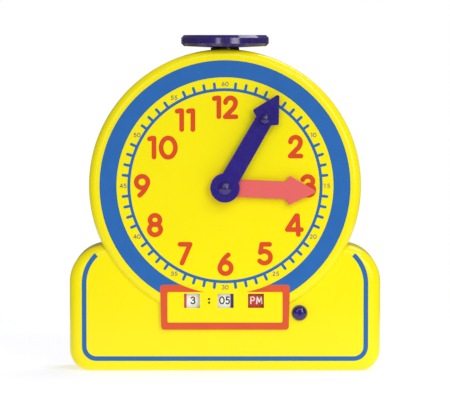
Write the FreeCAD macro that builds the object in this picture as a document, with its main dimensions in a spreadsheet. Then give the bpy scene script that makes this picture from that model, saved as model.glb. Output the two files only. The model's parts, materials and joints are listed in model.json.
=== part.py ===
import FreeCAD, Part
import math
import os
import re

import Sketcher

# Geared teaching clock. Millimetres, +Z up, the dial faces -Y, the origin is under the middle of the base.

os.makedirs("parts", exist_ok=True)
doc = FreeCAD.newDocument("TeachingClock")
Vector = FreeCAD.Vector

# Driving sizes
SIZES = {
    # base
    "base_width": 293.4,
    "base_depth": 68,
    "base_height": 119.4,
    "base_shoulder_radius": 35,
    "base_foot_radius": 20,
    "base_edge_radius": 9.5,
    # dial
    "dial_radius": 128.1,
    "dial_z": 175.5,
    "dial_proud": 4,
    "dial_back": 26,
    "dial_edge_radius": 7,
    "wall": 2.5,
    "parting_y": 4,
    # read-out pad and windows
    "pad_width": 122.4,
    "pad_foot_width": 120,
    "pad_bottom": 39.8,
    "pad_top": 82.25,
    "pad_corner_radius": 3,
    "window_width": 15,
    "window_height": 13.4,
    "window_z": 67.1,
    "hour_window_left": 31.1,
    "minute_window_right": 0.6,
    "half_day_window_right": 29.15,
    # fits
    "run_gap": 0.08,
    "press_gap": 0.02,
    "free_gap": 0.6,
    "overrun": 5,
    # prints
    "print_thick": 0.2,
    "ring_margin": 10.15,
    "ring_width": 15.95,
    "tick_gap": 4.4,
    "tick_length": 5.9,
    "tick_width": 2.5,
    "track_width": 2.7,
    "minute_number_rise": 3.9,
    "minute_number_height": 4.1,
    "minute_number_stroke": 0.6,
    "numeral_height": 22.1,
    "numeral_stroke": 4.4,
    "numeral_gap_x": 13,
    "numeral_gap_z": 15.2,
    "border_width": 5.8,
    "border_height": 6.8,
    "colon_radius": 1.05,
    "colon_pitch": 3.4,
    "colon_left": 15,
    "line_inset": 13.9,
    "line_rise": 12.1,
    "line_width": 4.3,
    "line_corner_radius": 11.5,
    "line_shoulder_radius": 37,
    "line_shoulder_drop": 1,
    # hands
    "arbor_drop": 1.5,
    "arbor_radius": 3,
    "hand_thick": 4,
    "hand_edge": 0.7,
    "hand_gap": 0.8,
    "dial_hand_gap": 1.8,
    "hub_radius": 13.8,
    "hour_length": 85.3,
    "hour_shaft_width": 16.6,
    "hour_head_width": 27.6,
    "hour_head_start": 60.4,
    "minute_length": 100.6,
    "minute_shaft_width": 17.7,
    "minute_neck_width": 16.5,
    "minute_head_width": 28.4,
    "minute_head_start": 76.2,
    "barb_length": 3.8,
    "tip_radius": 1.7,
    "cap_radius": 6.4,
    "cap_rise": 3.2,
    "peg_radius": 4.4,
    "peg_place": 75,
    "peg_rise": 6.5,
    # motion work
    "motion_distance": 30,
    "motion_gear_width": 4,
    "hour_pipe_radius": 5.5,
    "stud_radius": 2.5,
    "plate_front": 23.2,
    "plate_thick": 2.5,
    "plate_width": 108,
    "plate_bottom": 142.9,
    "plate_top": 207.9,
    "post_radius": 4.5,
    "screw_radius": 1.5,
    "screw_head_radius": 2.9,
    "screw_head_height": 2,
    "screw_bite": 9,
    # drive
    "shaft_radius": 3,
    "bevel_radius": 9,
    "bevel_face": 4.5,
    "bevel_hub_radius": 6.5,
    "bevel_hub_length": 5,
    "bracket_height": 7,
    "bracket_width": 18,
    "upper_bracket_rise": 22,
    "knob_radius": 41.5,
    "knob_bottom": 305.3,
    "knob_height": 11.8,
    "knob_chamfer": 2.6,
    "knob_recess": 1.2,
    "knob_dish": 1.2,
    "rib_proud": 1,
    "rib_width": 3,
    "rib_height": 5.5,
    "bushing_radius": 13.5,
    "bushing_flange": 3,
    "bushing_flange_thick": 2.4,
    # read-out train
    "drum_apothem": 25.5,
    "drum_width": 18,
    "drum_rim": 2,
    "drum_hub_radius": 6,
    "label_thick": 0.3,
    "stripe_width": 2.4,
    "digit_height": 7.4,
    "digit_stroke": 1.15,
    "lay_distance": 48,
    "lay_gear_width": 4,
    "transfer_distance": 30,
    "transfer_turn": 73.5,
    "transfer_gear_width": 3.4,
    "axle_radius": 2.5,
    "side_thick": 2.5,
    "left_side_x": 47,
    "right_side_x": 49.5,
    "tie_radius": 2,
    "ear_length": 9,
    "ear_height": 9,
    "ear_low_z": 24,
    "ear_high_z": 98,
    "ear_seat": 28,
    # button, lever and shutter
    "button_x": 70.3,
    "button_z": 55.4,
    "button_radius": 7.4,
    "button_rise": 5.6,
    "button_flange": 1.6,
    "stem_radius": 2.5,
    "guide_y": 14,
    "guide_thick": 2,
    "guide_post_radius": 3,
    "spring_radius": 4.2,
    "spring_wire": 0.7,
    "pivot_radius": 2,
    "pivot_y": 1.3,
    "lever_z": 45.9,
    "lever_thick": 3.6,
    "lever_hub_radius": 4,
    "short_arm": 9.5,
    "long_arm": 29.5,
    "lever_swing": 15,
    "shutter_thick": 1.2,
    "shutter_height": 16,
    "shutter_bottom": 43.5,
    "shutter_left": 42,
    "shutter_right": 55.5,
    "rail_width": 1.8,
    "fork_width": 1.6,
}

# Tooth counts and copies
CANNON_TEETH = 12
MOTION_TEETH = 36
MOTION_PINION_TEETH = 10
HOUR_TEETH = 40
BEVEL_TEETH = 18
LAY_TEETH = 24
MINUTE_PINION_TEETH = 10
TRANSFER_TEETH = 40
HOUR_PINION_TEETH = 12
HOUR_DRUM_TEETH = 36
HALF_DAY_PINION_TEETH = 9
HALF_DAY_DRUM_TEETH = 54
FACETS = 12
HALF_FACET = 180 / FACETS
DOME_SHARE = 1.3
GRIP_RIBS = 10
SPRING_TURNS = 6
PRESSURE_ANGLE = 25
MINUTE_HAND_ANGLE = 30
HOUR_HAND_ANGLE = 92.5
LINE_END_ANGLE = 46.5

# Sizes worked out from the driving ones
DERIVED = {
    "base_front": "-base_depth / 2",
    "base_back": "base_depth / 2",
    "dial_front": "base_front - dial_proud",
    "base_inner": "base_front + wall",
    "dial_inner": "dial_front + wall",
    "arbor_z": "dial_z - arbor_drop",
    "shaft_y": "(dial_front + dial_back) / 2",
    "print_front": "dial_front - print_thick",
    "ring_outer": "dial_radius - ring_margin",
    "ring_inner": "ring_outer - ring_width",
    "tick_reach": "ring_inner - tick_gap",
    "track_outer": "tick_reach - tick_length",
    "track_inner": "track_outer - track_width",
    "minute_number_radius": "track_outer + minute_number_rise",
    "numeral_reach_x": "track_inner - numeral_gap_x",
    "numeral_reach_z": "track_inner - numeral_gap_z",
    "hour_hand_back": "dial_front - dial_hand_gap",
    "hour_hand_front": "hour_hand_back - hand_thick",
    "minute_hand_back": "hour_hand_front - hand_gap",
    "minute_hand_front": "minute_hand_back - hand_thick",
    "hour_wheel_front": "dial_inner + free_gap",
    "hour_wheel_back": "hour_wheel_front + motion_gear_width",
    "motion_front": "hour_wheel_back + free_gap",
    "motion_back": "motion_front + motion_gear_width",
    "plate_front_y": "-plate_front",
    "plate_back_y": "plate_front_y + plate_thick",
    "post_x": "plate_width / 2 - post_radius - wall / 2",
    "post_low_z": "plate_bottom + post_radius + wall / 2",
    "post_high_z": "plate_top - post_radius - wall / 2",
    "shutter_front": "dial_inner + run_gap * 4",
    "shutter_back": "shutter_front + shutter_thick",
    "lip_front": "shutter_back + run_gap * 4",
    "lip_back": "lip_front + wall / 4",
    "drum_axis_y": f"shutter_back + free_gap + (drum_apothem + label_thick) / cos({HALF_FACET})",
    "lay_offset": "shaft_y - drum_axis_y",
    "lay_z": "window_z + sqrt(lay_distance * lay_distance - lay_offset * lay_offset)",
    "transfer_y": "drum_axis_y + transfer_distance * cos(transfer_turn)",
    "transfer_z": "window_z - transfer_distance * sin(transfer_turn)",
    "hour_drum_left": "-hour_window_left - drum_width / 2",
    "minute_drum_left": "minute_window_right - drum_width / 2",
    "half_day_drum_left": "half_day_window_right - drum_width / 2",
    "lay_gear_left": "minute_drum_left + drum_width + free_gap",
    "minute_pinion_left": "lay_gear_left + lay_gear_width",
    "transfer_gear_left": "minute_pinion_left + free_gap",
    "minute_train_right": "transfer_gear_left + transfer_gear_width + free_gap / 2",
    "hour_gear_left": "hour_drum_left + drum_width",
    "half_day_gear_left": "half_day_drum_left + drum_width",
    "left_side_inner": "-left_side_x + side_thick",
    "right_side_inner": "right_side_x - side_thick",
    "knob_top": "knob_bottom + knob_height",
    "bevel_small": "bevel_radius - bevel_face / sqrt(2)",
    "casing_top": "dial_z + dial_radius",
    "button_hole": "button_radius + run_gap",
    "flange_front": "base_inner + run_gap * 3",
    "flange_back": "flange_front + button_flange",
    "arm_front": "pivot_y - short_arm * sin(lever_swing) - lever_thick / 2",
    "bracket_x": "button_x + button_radius + 3 * guide_post_radius",
    "stem_end": "arm_front - run_gap * 4",
    "guide_front": "-guide_y",
    "pin_z": "lever_z - long_arm * sin(lever_swing)",
    "pin_y": "pivot_y - long_arm * cos(lever_swing)",
    "pin_radius": "pivot_radius * 0.6",
    "leg_front": "base_inner + run_gap * 4",
    "leg_back": "leg_front + shutter_thick",
    "fork_left": "right_side_x + free_gap",
    "fork_right": "fork_left + fork_width",
    "ear_left": "fork_right + run_gap * 4",
    "leg_right": "ear_left + shutter_thick",
}

sheet = doc.addObject("Spreadsheet::Sheet", "Sizes")
for row, (alias, number) in enumerate(SIZES.items(), 1):
    sheet.set(f"A{row}", alias)
    sheet.set(f"B{row}", str(number))
    sheet.setAlias(f"B{row}", alias)
doc.recompute()
layout = doc.addObject("App::VarSet", "Layout")


def rule(text):
    """Write a rule in plain names as an expression on the sheet and the layout."""
    text = re.sub(r"[a-z_]+", lambda word: prefixed(word.group()), str(text))
    return text


def prefixed(word):
    if word in SIZES:
        return f"Sizes.{word}"
    if word in DERIVED:
        return f"Layout.{word}"
    return word


def num(text):
    return float(sheet.evalExpression(rule(text)))


for alias, formula in DERIVED.items():
    layout.addProperty("App::PropertyFloat", alias)
    layout.setExpression(alias, rule(formula))
    doc.recompute()

# A third of a turn about the space diagonal carries Z to X, and two thirds carry Z to Y
DIAGONAL = Vector(1, 1, 1)
TURNS = {
    "Z": FreeCAD.Rotation(DIAGONAL, 0),
    "X": FreeCAD.Rotation(DIAGONAL, 120),
    "Y": FreeCAD.Rotation(DIAGONAL, 240),
}
AXES = {"X": Vector(1, 0, 0), "Y": Vector(0, 1, 0), "Z": Vector(0, 0, 1)}
NODES = {}


def bind(item, **rules):
    for prop, text in rules.items():
        if prop in ("x", "y", "z"):
            prop = f"Placement.Base.{prop}"
        item.setExpression(prop, rule(text))
    return item


def box(name, xs, ys, zs):
    """A box from three pairs of rules, each the low and the high side."""
    item = doc.addObject("Part::Box", name)
    bind(item, Length=f"({xs[1]}) - ({xs[0]})", Width=f"({ys[1]}) - ({ys[0]})",
         Height=f"({zs[1]}) - ({zs[0]})")
    return bind(item, x=xs[0], y=ys[0], z=zs[0])


def place_on(item, axis, centre, start):
    """Stand an item along an axis: centre gives the two other coordinates in X, Y, Z order."""
    item.Placement = FreeCAD.Placement(Vector(), TURNS[axis])
    names = [name for name in "xyz" if name != axis.lower()]
    return bind(item, **{names[0]: centre[0], names[1]: centre[1], axis.lower(): start})


def rod(name, axis, radius, start, end, centre):
    item = doc.addObject("Part::Cylinder", name)
    place_on(item, axis, centre, start)
    return bind(item, Radius=radius, Height=f"({end}) - ({start})")


def fuse(name, *items):
    item = doc.addObject("Part::MultiFuse", name)
    item.Shapes = list(items)
    return item


def cut(name, base, *tools):
    item = doc.addObject("Part::Cut", name)
    item.Base = base
    item.Tool = tools[0] if len(tools) == 1 else fuse(f"{name}_tools", *tools)
    return item


def common(name, first, second):
    item = doc.addObject("Part::Common", name)
    item.Base = first
    item.Tool = second
    return item


def group(name, *items):
    """Separate solids kept side by side in one piece of the list."""
    item = doc.addObject("Part::Compound", name)
    item.Links = list(items)
    return item


def node(name, item):
    item.Label = name
    NODES[name] = item
    return item


def shaped(name, shape, axis="Z", at=("0", "0", "0"), turn=None):
    item = doc.addObject("Part::Feature", name)
    item.Shape = Part.makeCompound(shape.Solids)
    item.Placement = FreeCAD.Placement(Vector(), turn or TURNS[axis])
    return bind(item, x=at[0], y=at[1], z=at[2])


def plane_of(body, role):
    return [feature for feature in body.Origin.OriginFeatures if feature.Role == role][0]


def pin_point(sketch, index, x_rule, y_rule):
    """Fix the start of a sketch line by its two rules."""
    for kind, text, axis in (("DistanceX", x_rule, -2), ("DistanceY", y_rule, -1)):
        if num(text) == 0:
            sketch.addConstraint(Sketcher.Constraint("PointOnObject", index, 1, axis))
            continue
        number = sketch.addConstraint(Sketcher.Constraint(kind, -1, 1, index, 1, num(text)))
        sketch.setExpression(f"Constraints[{number}]", rule(text))


def outline_sketch(body, role, points):
    sketch = body.newObject("Sketcher::SketchObject", f"{body.Name}_outline")
    sketch.AttachmentSupport = (plane_of(body, role), [""])
    sketch.MapMode = "FlatFace"
    places = [Vector(num(x_rule), num(y_rule), 0) for x_rule, y_rule in points]
    for index, place in enumerate(places):
        following = places[(index + 1) % len(places)]
        sketch.addGeometry(Part.LineSegment(place, following), False)
    for index in range(len(points)):
        sketch.addConstraint(Sketcher.Constraint("Coincident", index, 2, (index + 1) % len(points), 1))
    for index, (x_rule, y_rule) in enumerate(points):
        pin_point(sketch, index, x_rule, y_rule)
    return sketch


def turned(name, axis, profile, at=("0", "0", "0")):
    """A turned piece: a profile of radius and height rules, spun about its own axis."""
    body = doc.addObject("PartDesign::Body", name)
    sketch = outline_sketch(body, "XZ_Plane", profile)
    spin = body.newObject("PartDesign::Revolution", f"{name}_spin")
    spin.Profile = sketch
    spin.ReferenceAxis = (sketch, ["V_Axis"])
    spin.Angle = 360
    body.Placement = FreeCAD.Placement(Vector(), TURNS[axis])
    bind(body, x=at[0], y=at[1], z=at[2])
    doc.recompute()
    return body


def block(name, points, depth):
    """An outline in X and Z, thickened by the same amount to the front and the back of the XZ plane."""
    body = doc.addObject("PartDesign::Body", name)
    sketch = outline_sketch(body, "XZ_Plane", points)
    pad = body.newObject("PartDesign::Pad", f"{name}_pad")
    pad.Profile = sketch
    pad.Midplane = True
    pad.setExpression("Length", rule(depth))
    doc.recompute()
    return body


def round_edges(body, label, chosen, radius):
    """Round the edges of a body's last feature that the test chosen accepts."""
    last = body.Tip
    names = [f"Edge{number}" for number, edge in enumerate(last.Shape.Edges, 1) if chosen(edge)]
    fillet = body.newObject("PartDesign::Fillet", f"{body.Name}_{label}")
    fillet.Base = (last, names)
    fillet.setExpression("Radius", rule(radius))
    doc.recompute()
    return body


def rim(radius, height):
    """Accept the circular edge of a turned piece at one radius and height of its own frame."""
    def chosen(edge):
        curve = edge.Curve
        if not isinstance(curve, Part.Circle):
            return False
        return abs(curve.Radius - num(radius)) < TOUCH and abs(curve.Center.z - num(height)) < TOUCH
    return chosen


TOUCH = num("press_gap") / 10


# Flat drawing: strokes and letters

def stroke_wire(steps, scale, width_share):
    """A path in shares of the letter's height: M moves, L draws a line, A an arc through a point."""
    edges = []
    here = None
    for step in steps:
        spots = [Vector(x * scale * width_share, y * scale, 0) for x, y in zip(step[1::2], step[2::2])]
        if step[0] == "L":
            edges.append(Part.makeLine(here, spots[0]))
        if step[0] == "A":
            edges.append(Part.Arc(here, spots[0], spots[1]).toShape())
        here = spots[-1]
    return Part.Wire(edges)


def capsule(start, end, radius):
    """A flat bar with round ends, from start to end in the XY plane."""
    along = (end - start).normalize()
    side = Vector(-along.y, along.x, 0) * radius
    return Part.Face(Part.Wire([
        Part.makeLine(start + side, end + side),
        Part.Arc(end + side, end + along * radius, end - side).toShape(),
        Part.makeLine(end - side, start - side),
        Part.Arc(start - side, start - along * radius, start + side).toShape(),
    ]))


def stroke_solid(steps, height, stroke, thick, width_share):
    scale = height - stroke
    wire = stroke_wire(steps, scale, width_share)
    if wire.isClosed():
        outer = wire.makeOffset2D(stroke / 2)
        inner = wire.makeOffset2D(-stroke / 2)
        face = Part.Face(outer).cut(Part.Face(inner))
    elif len(wire.Edges) == 1 and steps[1][0] == "L":
        face = capsule(*[vertex.Point for vertex in wire.Vertexes], stroke / 2)
    else:
        face = Part.Face(wire.makeOffset2D(stroke / 2, 0, False, False))
    solid = face.extrude(Vector(0, 0, thick))
    return solid.translated(Vector(0, stroke / 2, 0))


GLYPH_SHARES = {
    "0": [[("M", -0.22, 0.085), ("A", -0.381, 0.5, -0.22, 0.915), ("A", 0, 1.01, 0.22, 0.915),
           ("A", 0.381, 0.5, 0.22, 0.085), ("A", 0, -0.01, -0.22, 0.085)]],
    "1": [[("M", -0.2, 0.965), ("A", -0.09, 0.995, 0.04, 1), ("L", 0.04, 0)]],
    "2": [[("M", -0.27, 0.75), ("A", 0, 1, 0.265, 0.73), ("A", 0.2, 0.52, 0.05, 0.35), ("L", -0.285, 0),
           ("L", 0.285, 0)]],
    "3": [[("M", -0.27, 0.84), ("A", 0.02, 1, 0.27, 0.77), ("A", 0.2, 0.6, 0, 0.55)],
          [("M", 0, 0.55), ("A", 0.23, 0.48, 0.32, 0.28), ("A", 0.22, 0.07, 0, 0),
           ("A", -0.19, 0.04, -0.31, 0.18)]],
    "4": [[("M", 0.215, 0), ("L", 0.165, 1)], [("M", 0.11, 1), ("L", -0.376, 0.26), ("L", 0.376, 0.26)]],
    "5": [[("M", 0.25, 1), ("L", -0.17, 1), ("L", -0.24, 0.56), ("A", -0.02, 0.63, 0.19, 0.55),
           ("A", 0.3, 0.32, 0.19, 0.08), ("A", -0.04, 0, -0.28, 0.12)]],
    "6": [[("M", 0.305, 0.3), ("A", 0, 0.605, -0.305, 0.3), ("A", 0, -0.005, 0.305, 0.3)],
          [("M", 0.15, 1), ("A", -0.13, 0.7, -0.3, 0.32)]],
    "7": [[("M", -0.268, 1), ("L", 0.268, 1), ("L", -0.165, 0)]],
    "8": [[("M", 0.266, 0.77), ("A", 0, 1.02, -0.266, 0.77), ("A", 0, 0.52, 0.266, 0.77)],
          [("M", 0.306, 0.265), ("A", 0, 0.55, -0.306, 0.265), ("A", 0, -0.02, 0.306, 0.265)]],
    "9": [[("M", 0.308, 0.7), ("A", 0, 1.008, -0.308, 0.7), ("A", 0, 0.392, 0.308, 0.7)],
          [("M", -0.13, 0), ("A", 0.14, 0.3, 0.305, 0.68)]],
    "A": [[("M", -0.36, 0), ("L", 0, 1), ("L", 0.36, 0)], [("M", -0.24, 0.33), ("L", 0.24, 0.33)]],
    "P": [[("M", -0.26, 0), ("L", -0.26, 1)],
          [("M", -0.26, 1), ("L", 0.04, 1), ("A", 0.29, 0.74, 0.04, 0.48), ("L", -0.26, 0.48)]],
    "M": [[("M", -0.4, 0), ("L", -0.3, 1), ("L", 0, 0.25), ("L", 0.3, 1), ("L", 0.4, 0)]],
}
# Centre to centre of two figures side by side, in shares of the stroke-free height
PAIR_SHARES = {"10": 0.795, "11": 0.593, "12": 0.661}
PAIR_SHARE = 1
LETTER_SHARE = 1.02
DIGIT_WIDTH_SHARE = 0.86
glyph_store = {}


def glyph(letter, height, stroke, thick, width_share):
    key = (letter, height, stroke, thick, width_share)
    if key not in glyph_store:
        solids = [stroke_solid(steps, height, stroke, thick, width_share) for steps in GLYPH_SHARES[letter]]
        shape = solids[0]
        for other in solids[1:]:
            shape = shape.fuse(other)
        glyph_store[key] = shape.removeSplitter()
    return glyph_store[key].copy()


def text_shapes(text, height, stroke, thick, width_share=1):
    """Letters of a short text, upright in XY, centred on the origin."""
    share = PAIR_SHARES.get(text, LETTER_SHARE if text.isalpha() else PAIR_SHARE)
    pitch = share * (height - stroke) * width_share
    shapes = []
    for index, letter in enumerate(text):
        shape = glyph(letter, height, stroke, thick, width_share)
        shape.translate(Vector((index - (len(text) - 1) / 2) * pitch, -height / 2, 0))
        shapes.append(shape)
    return shapes


# The front of the clock: local X to the right, local Y up, local Z towards the viewer
FRONT = FreeCAD.Rotation(Vector(1, 0, 0), 90)


def front_print(name, shape, y_rule, z_rule="0"):
    return shaped(name, shape, at=("0", y_rule, z_rule), turn=FRONT)


# Casing

def base_block(name, inset):
    half = f"(base_width / 2 - {inset})"
    low = f"({inset})"
    high = f"(base_height - {inset})"
    points = [(f"-{half}", low), (half, low), (half, high), (f"-{half}", high)]
    body = block(name, points, f"base_depth - 2 * {inset}")

    def corner(height_rule):
        def chosen(edge):
            ends = [vertex.Point for vertex in edge.Vertexes]
            level = all(abs(end.z - num(height_rule)) < TOUCH for end in ends)
            return level and abs(ends[0].y - ends[1].y) > num("wall")
        return chosen

    def perimeter(edge):
        ends = [vertex.Point for vertex in edge.Vertexes]
        return abs(ends[0].y - ends[-1].y) < TOUCH

    round_edges(body, "shoulders", corner(high), f"base_shoulder_radius - {inset}")
    round_edges(body, "feet", corner(low), f"base_foot_radius - {inset}")
    round_edges(body, "edges", perimeter, f"base_edge_radius - {inset}")
    return body


def dial_block(name, inset):
    front = f"(dial_front + {inset})"
    back = f"(dial_back - {inset})"
    edge = f"(dial_radius - {inset})"
    body = turned(name, "Y", [("0", front), (edge, front), (edge, back), ("0", back)], ("0", "0", "dial_z"))

    def either_rim(line):
        return rim(edge, front)(line) or rim(edge, back)(line)

    return round_edges(body, "edges", either_rim, f"dial_edge_radius - {inset}")


def pad_block(name, inset):
    foot = f"(pad_foot_width / 2 - {inset})"
    top = f"(pad_width / 2 - {inset})"
    low = f"(pad_bottom + {inset})"
    points = [(f"-{foot}", low), (foot, low), (top, "pad_top"), (f"-{top}", "pad_top")]
    body = block(name, points, f"-2 * (dial_front + {inset})")

    def upright(edge):
        ends = [vertex.Point for vertex in edge.Vertexes]
        return abs(ends[0].y - ends[-1].y) > num("wall")

    round_edges(body, "corners", upright, f"pad_corner_radius - {inset} * 0.8")
    front_half = box(f"{name}_front", ("-pad_width", "pad_width"), ("dial_front", "base_front / 2"),
                     ("0", "base_height"))
    return common(f"{name}_half", body, front_half)


skins = {}
for label, inset in (("outer", "0"), ("middle", "wall / 2"), ("inner", "wall")):
    blocks = [make(f"{make.__name__}_{label}", inset) for make in (base_block, dial_block, pad_block)]
    skins[label] = fuse(f"casing_{label}", *blocks)
casing_shell = cut("casing_shell", skins["outer"], skins["inner"])
doc.recompute()

WIDE = ("-base_width", "base_width")
TALL = ("-overrun", "2 * (dial_z + dial_radius)")
front_side = box("front_side", WIDE, ("dial_front - overrun", "parting_y"), TALL)
rear_side = box("rear_side", WIDE, ("parting_y", "base_depth"), TALL)

# Casing screws: shares of the dial's radius, of the shoulder's radius and of the foot's radius
UPPER_SHARES = (0.6, 0.66)
MIDDLE_SHARES = (1.05, 0.75)
LOWER_SHARE = 1.4
CASE_SCREW_PLACES = {
    "upper": (f"{UPPER_SHARES[0]} * dial_radius", f"dial_z + {UPPER_SHARES[1]} * dial_radius"),
    "middle": (f"base_width / 2 - {MIDDLE_SHARES[0]} * base_shoulder_radius",
               f"base_height - {MIDDLE_SHARES[1]} * base_shoulder_radius"),
    "lower": (f"base_width / 2 - {LOWER_SHARE} * base_foot_radius", "wall + post_radius + wall"),
}
PLATE_SCREW_PLACES = [(side, height) for side in ("-", "") for height in ("post_low_z", "post_high_z")]
EAR_SCREW_PLACES = [("left", "-left_side_x - ear_length / 2"), ("right", "right_side_x + ear_length / 2")]

front_posts = []
front_pilots = []
rear_posts = []
rear_holes = []
case_screws = []
for label, (x_rule, z_rule) in CASE_SCREW_PLACES.items():
    for side in ("-", ""):
        name = f"{label}_{'left' if side else 'right'}"
        spot = (f"{side}({x_rule})", z_rule)
        seat = "parting_y + 2 * screw_bite"
        front_posts.append(rod(f"front_post_{name}", "Y", "post_radius", "dial_front", "parting_y", spot))
        front_pilots.append(rod(f"front_pilot_{name}", "Y", "screw_radius + press_gap",
                                "parting_y - 1.2 * screw_bite", "parting_y + overrun", spot))
        rear_posts.append(rod(f"rear_post_{name}", "Y", "post_radius", "parting_y", "base_back", spot))
        rear_holes.append(rod(f"rear_hole_{name}", "Y", "screw_radius + run_gap", "parting_y - overrun",
                              "base_depth", spot))
        rear_holes.append(rod(f"rear_sink_{name}", "Y", "screw_head_radius + run_gap * 2",
                              "parting_y + screw_bite", "base_depth", spot))
        shank = rod(f"case_shank_{name}", "Y", "screw_radius", "parting_y - screw_bite",
                    "parting_y + screw_bite + screw_head_height / 2", spot)
        head = rod(f"case_head_{name}", "Y", "screw_head_radius", "parting_y + screw_bite",
                   "parting_y + screw_bite + screw_head_height", spot)
        case_screws.append(fuse(f"case_screw_{name}", shank, head))

plate_screws = []
for side, height in PLATE_SCREW_PLACES:
    name = f"{'left' if side else 'right'}_{height.split('_')[1]}"
    spot = (f"{side}post_x", height)
    front_posts.append(rod(f"plate_post_{name}", "Y", "post_radius", "dial_front", "plate_front_y", spot))
    front_pilots.append(rod(f"plate_pilot_{name}", "Y", "screw_radius + press_gap",
                            "plate_front_y - 1.2 * screw_bite", "plate_front_y + overrun", spot))
    shank = rod(f"plate_shank_{name}", "Y", "screw_radius", "plate_front_y - screw_bite",
                "plate_back_y + screw_head_height / 2", spot)
    head = rod(f"plate_head_{name}", "Y", "screw_head_radius", "plate_back_y",
               "plate_back_y + screw_head_height", spot)
    plate_screws.append(fuse(f"plate_screw_{name}", shank, head))

ear_screws = []
for side, x_rule in EAR_SCREW_PLACES:
    for level in ("low", "high"):
        name = f"{side}_{level}"
        spot = (x_rule, f"ear_{level}_z")
        wall_front = "dial_front" if level == "high" else "base_front"
        front_posts.append(rod(f"ear_post_{name}", "Y", "post_radius", "dial_front", "-ear_seat", spot))
        shank = rod(f"ear_shank_{name}", "Y", "screw_radius", f"{wall_front} + wall",
                    "-ear_seat + side_thick + screw_head_height / 2", spot)
        front_pilots.append(rod(f"ear_pilot_{name}", "Y", "screw_radius + press_gap",
                                f"{wall_front} + wall", "-ear_seat + overrun", spot))
        head = rod(f"ear_head_{name}", "Y", "screw_head_radius", "-ear_seat + side_thick",
                   "-ear_seat + side_thick + screw_head_height", spot)
        ear_screws.append(fuse(f"ear_screw_{name}", shank, head))

# Windows, holes and shutter rails in the front casing
WINDOWS = {
    "hour": "-hour_window_left",
    "minute": "minute_window_right",
    "half_day": "half_day_window_right",
}
openings = []
for label, centre in WINDOWS.items():
    openings.append(box(f"{label}_window", (f"{centre} - window_width / 2", f"{centre} + window_width / 2"),
                        ("dial_front - overrun", "dial_inner + wall"),
                        ("window_z - window_height / 2", "window_z + window_height / 2")))
openings.append(rod("pipe_hole", "Y", "hour_pipe_radius + run_gap", "dial_front - overrun",
                    "hour_wheel_front - press_gap", ("0", "arbor_z")))
openings.append(rod("button_opening", "Y", "button_hole", "base_front - overrun", "base_inner + wall",
                    ("button_x", "button_z")))
neck_hole = rod("neck_hole", "Z", "bushing_radius + press_gap", "dial_z", "casing_top + overrun",
                ("0", "shaft_y"))
pipe_boss = rod("pipe_boss", "Y", "hour_pipe_radius * 1.7", "dial_front + wall / 2",
                "hour_wheel_front - run_gap * 2", ("0", "arbor_z"))
rails = []
for side, edge in (("left", "-shutter_left"), ("right", "shutter_right")):
    sign = "-" if side == "left" else ""
    clear = f"{sign}run_gap * 4"
    near = f"{edge} + {clear}"
    far = f"{near} + {sign}rail_width"
    lip = f"{near} - {sign}rail_width * 0.6" if sign == "" else f"{near} + rail_width * 0.6"
    rail_z = ("shutter_bottom", "shutter_bottom + 2 * shutter_height + wall")
    rail_x = (far, near) if side == "left" else (near, far)
    lip_x = (far, lip) if side == "left" else (lip, far)
    rails.append(box(f"{side}_rail", rail_x, ("dial_inner - wall / 2", "lip_back"), rail_z))
    rails.append(box(f"{side}_rail_lip", lip_x, ("lip_front", "lip_back"), rail_z))
for label, sign in (("low", "-"), ("high", "+")):
    front_posts.append(rod(f"guide_post_{label}", "Y", "guide_post_radius", "dial_front", "guide_front",
                           ("button_x", f"button_z {sign} (button_radius + 2 * guide_post_radius)")))
front_posts.append(rod("bracket_post", "Y", "guide_post_radius", "dial_front", "pivot_y - lever_hub_radius",
                       ("bracket_x", "lever_z")))

# The posts end in the middle of the wall, whatever wall stands before them
front_feet = common("front_feet", skins["middle"], fuse("front_posts", *front_posts))
rear_feet = common("rear_feet", skins["middle"], fuse("rear_posts", *rear_posts))
front_half = common("front_half", casing_shell, front_side)
front_solid = fuse("front_solid", front_half, pipe_boss, front_feet, *rails)
node("front_casing", cut("front_casing", front_solid, neck_hole, *front_pilots, *openings))
rear_half = common("rear_half", casing_shell, rear_side)
node("rear_casing", cut("rear_casing", fuse("rear_solid", rear_half, rear_feet), neck_hole, *rear_holes))
node("casing_screws", group("casing_screws", *case_screws))
doc.recompute()

# Prints on the dial and the base

PRINT = num("print_thick")


def ring_face(inner, outer):
    circles = [Part.Wire(Part.makeCircle(radius)) for radius in (outer, inner)]
    return Part.Face(circles, "Part::FaceMakerBullseye")



def rounded_polygon(points, radius):
    wire = Part.makePolygon([Vector(x, y, 0) for x, y in points + points[:1]])
    inner = wire.makeOffset2D(-radius, 2)
    return inner.makeOffset2D(radius, 0)


def mirrored(corners):
    """Close an outline whose right half is given, upwards, with the same corners on the left."""
    return corners + [(-x, z) for x, z in corners[::-1]]


def pad_face():
    right = [(num("pad_foot_width / 2"), num("pad_bottom")), (num("pad_width / 2"), num("pad_top"))]
    return Part.Face(rounded_polygon(mirrored(right), num("pad_corner_radius")))


pad_mask = front_print("pad_mask", pad_face().extrude(Vector(0, 0, PRINT)), "dial_front")
ring_outer_disc = rod("ring_outer_disc", "Y", "ring_outer", "print_front", "dial_front", ("0", "dial_z"))
ring_inner_disc = rod("ring_inner_disc", "Y", "ring_inner", "print_front - overrun", "0", ("0", "dial_z"))
node("dial_blue_ring", cut("dial_blue_ring", ring_outer_disc, ring_inner_disc, pad_mask))


def minute_track():
    ring = ring_face(num("track_inner"), num("track_outer")).extrude(Vector(0, 0, PRINT))
    half = num("tick_width") / 2
    start = num("(track_inner + track_outer) / 2")
    end = num("tick_reach") - half
    ticks = []
    for minute in range(60):
        if minute % 5 == 0:
            continue
        tick = capsule(Vector(0, start, 0), Vector(0, end, 0), half).extrude(Vector(0, 0, PRINT))
        tick.rotate(Vector(), AXES["Z"], 6 * minute)
        ticks.append(tick)
    return ring.fuse(ticks).removeSplitter()


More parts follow.
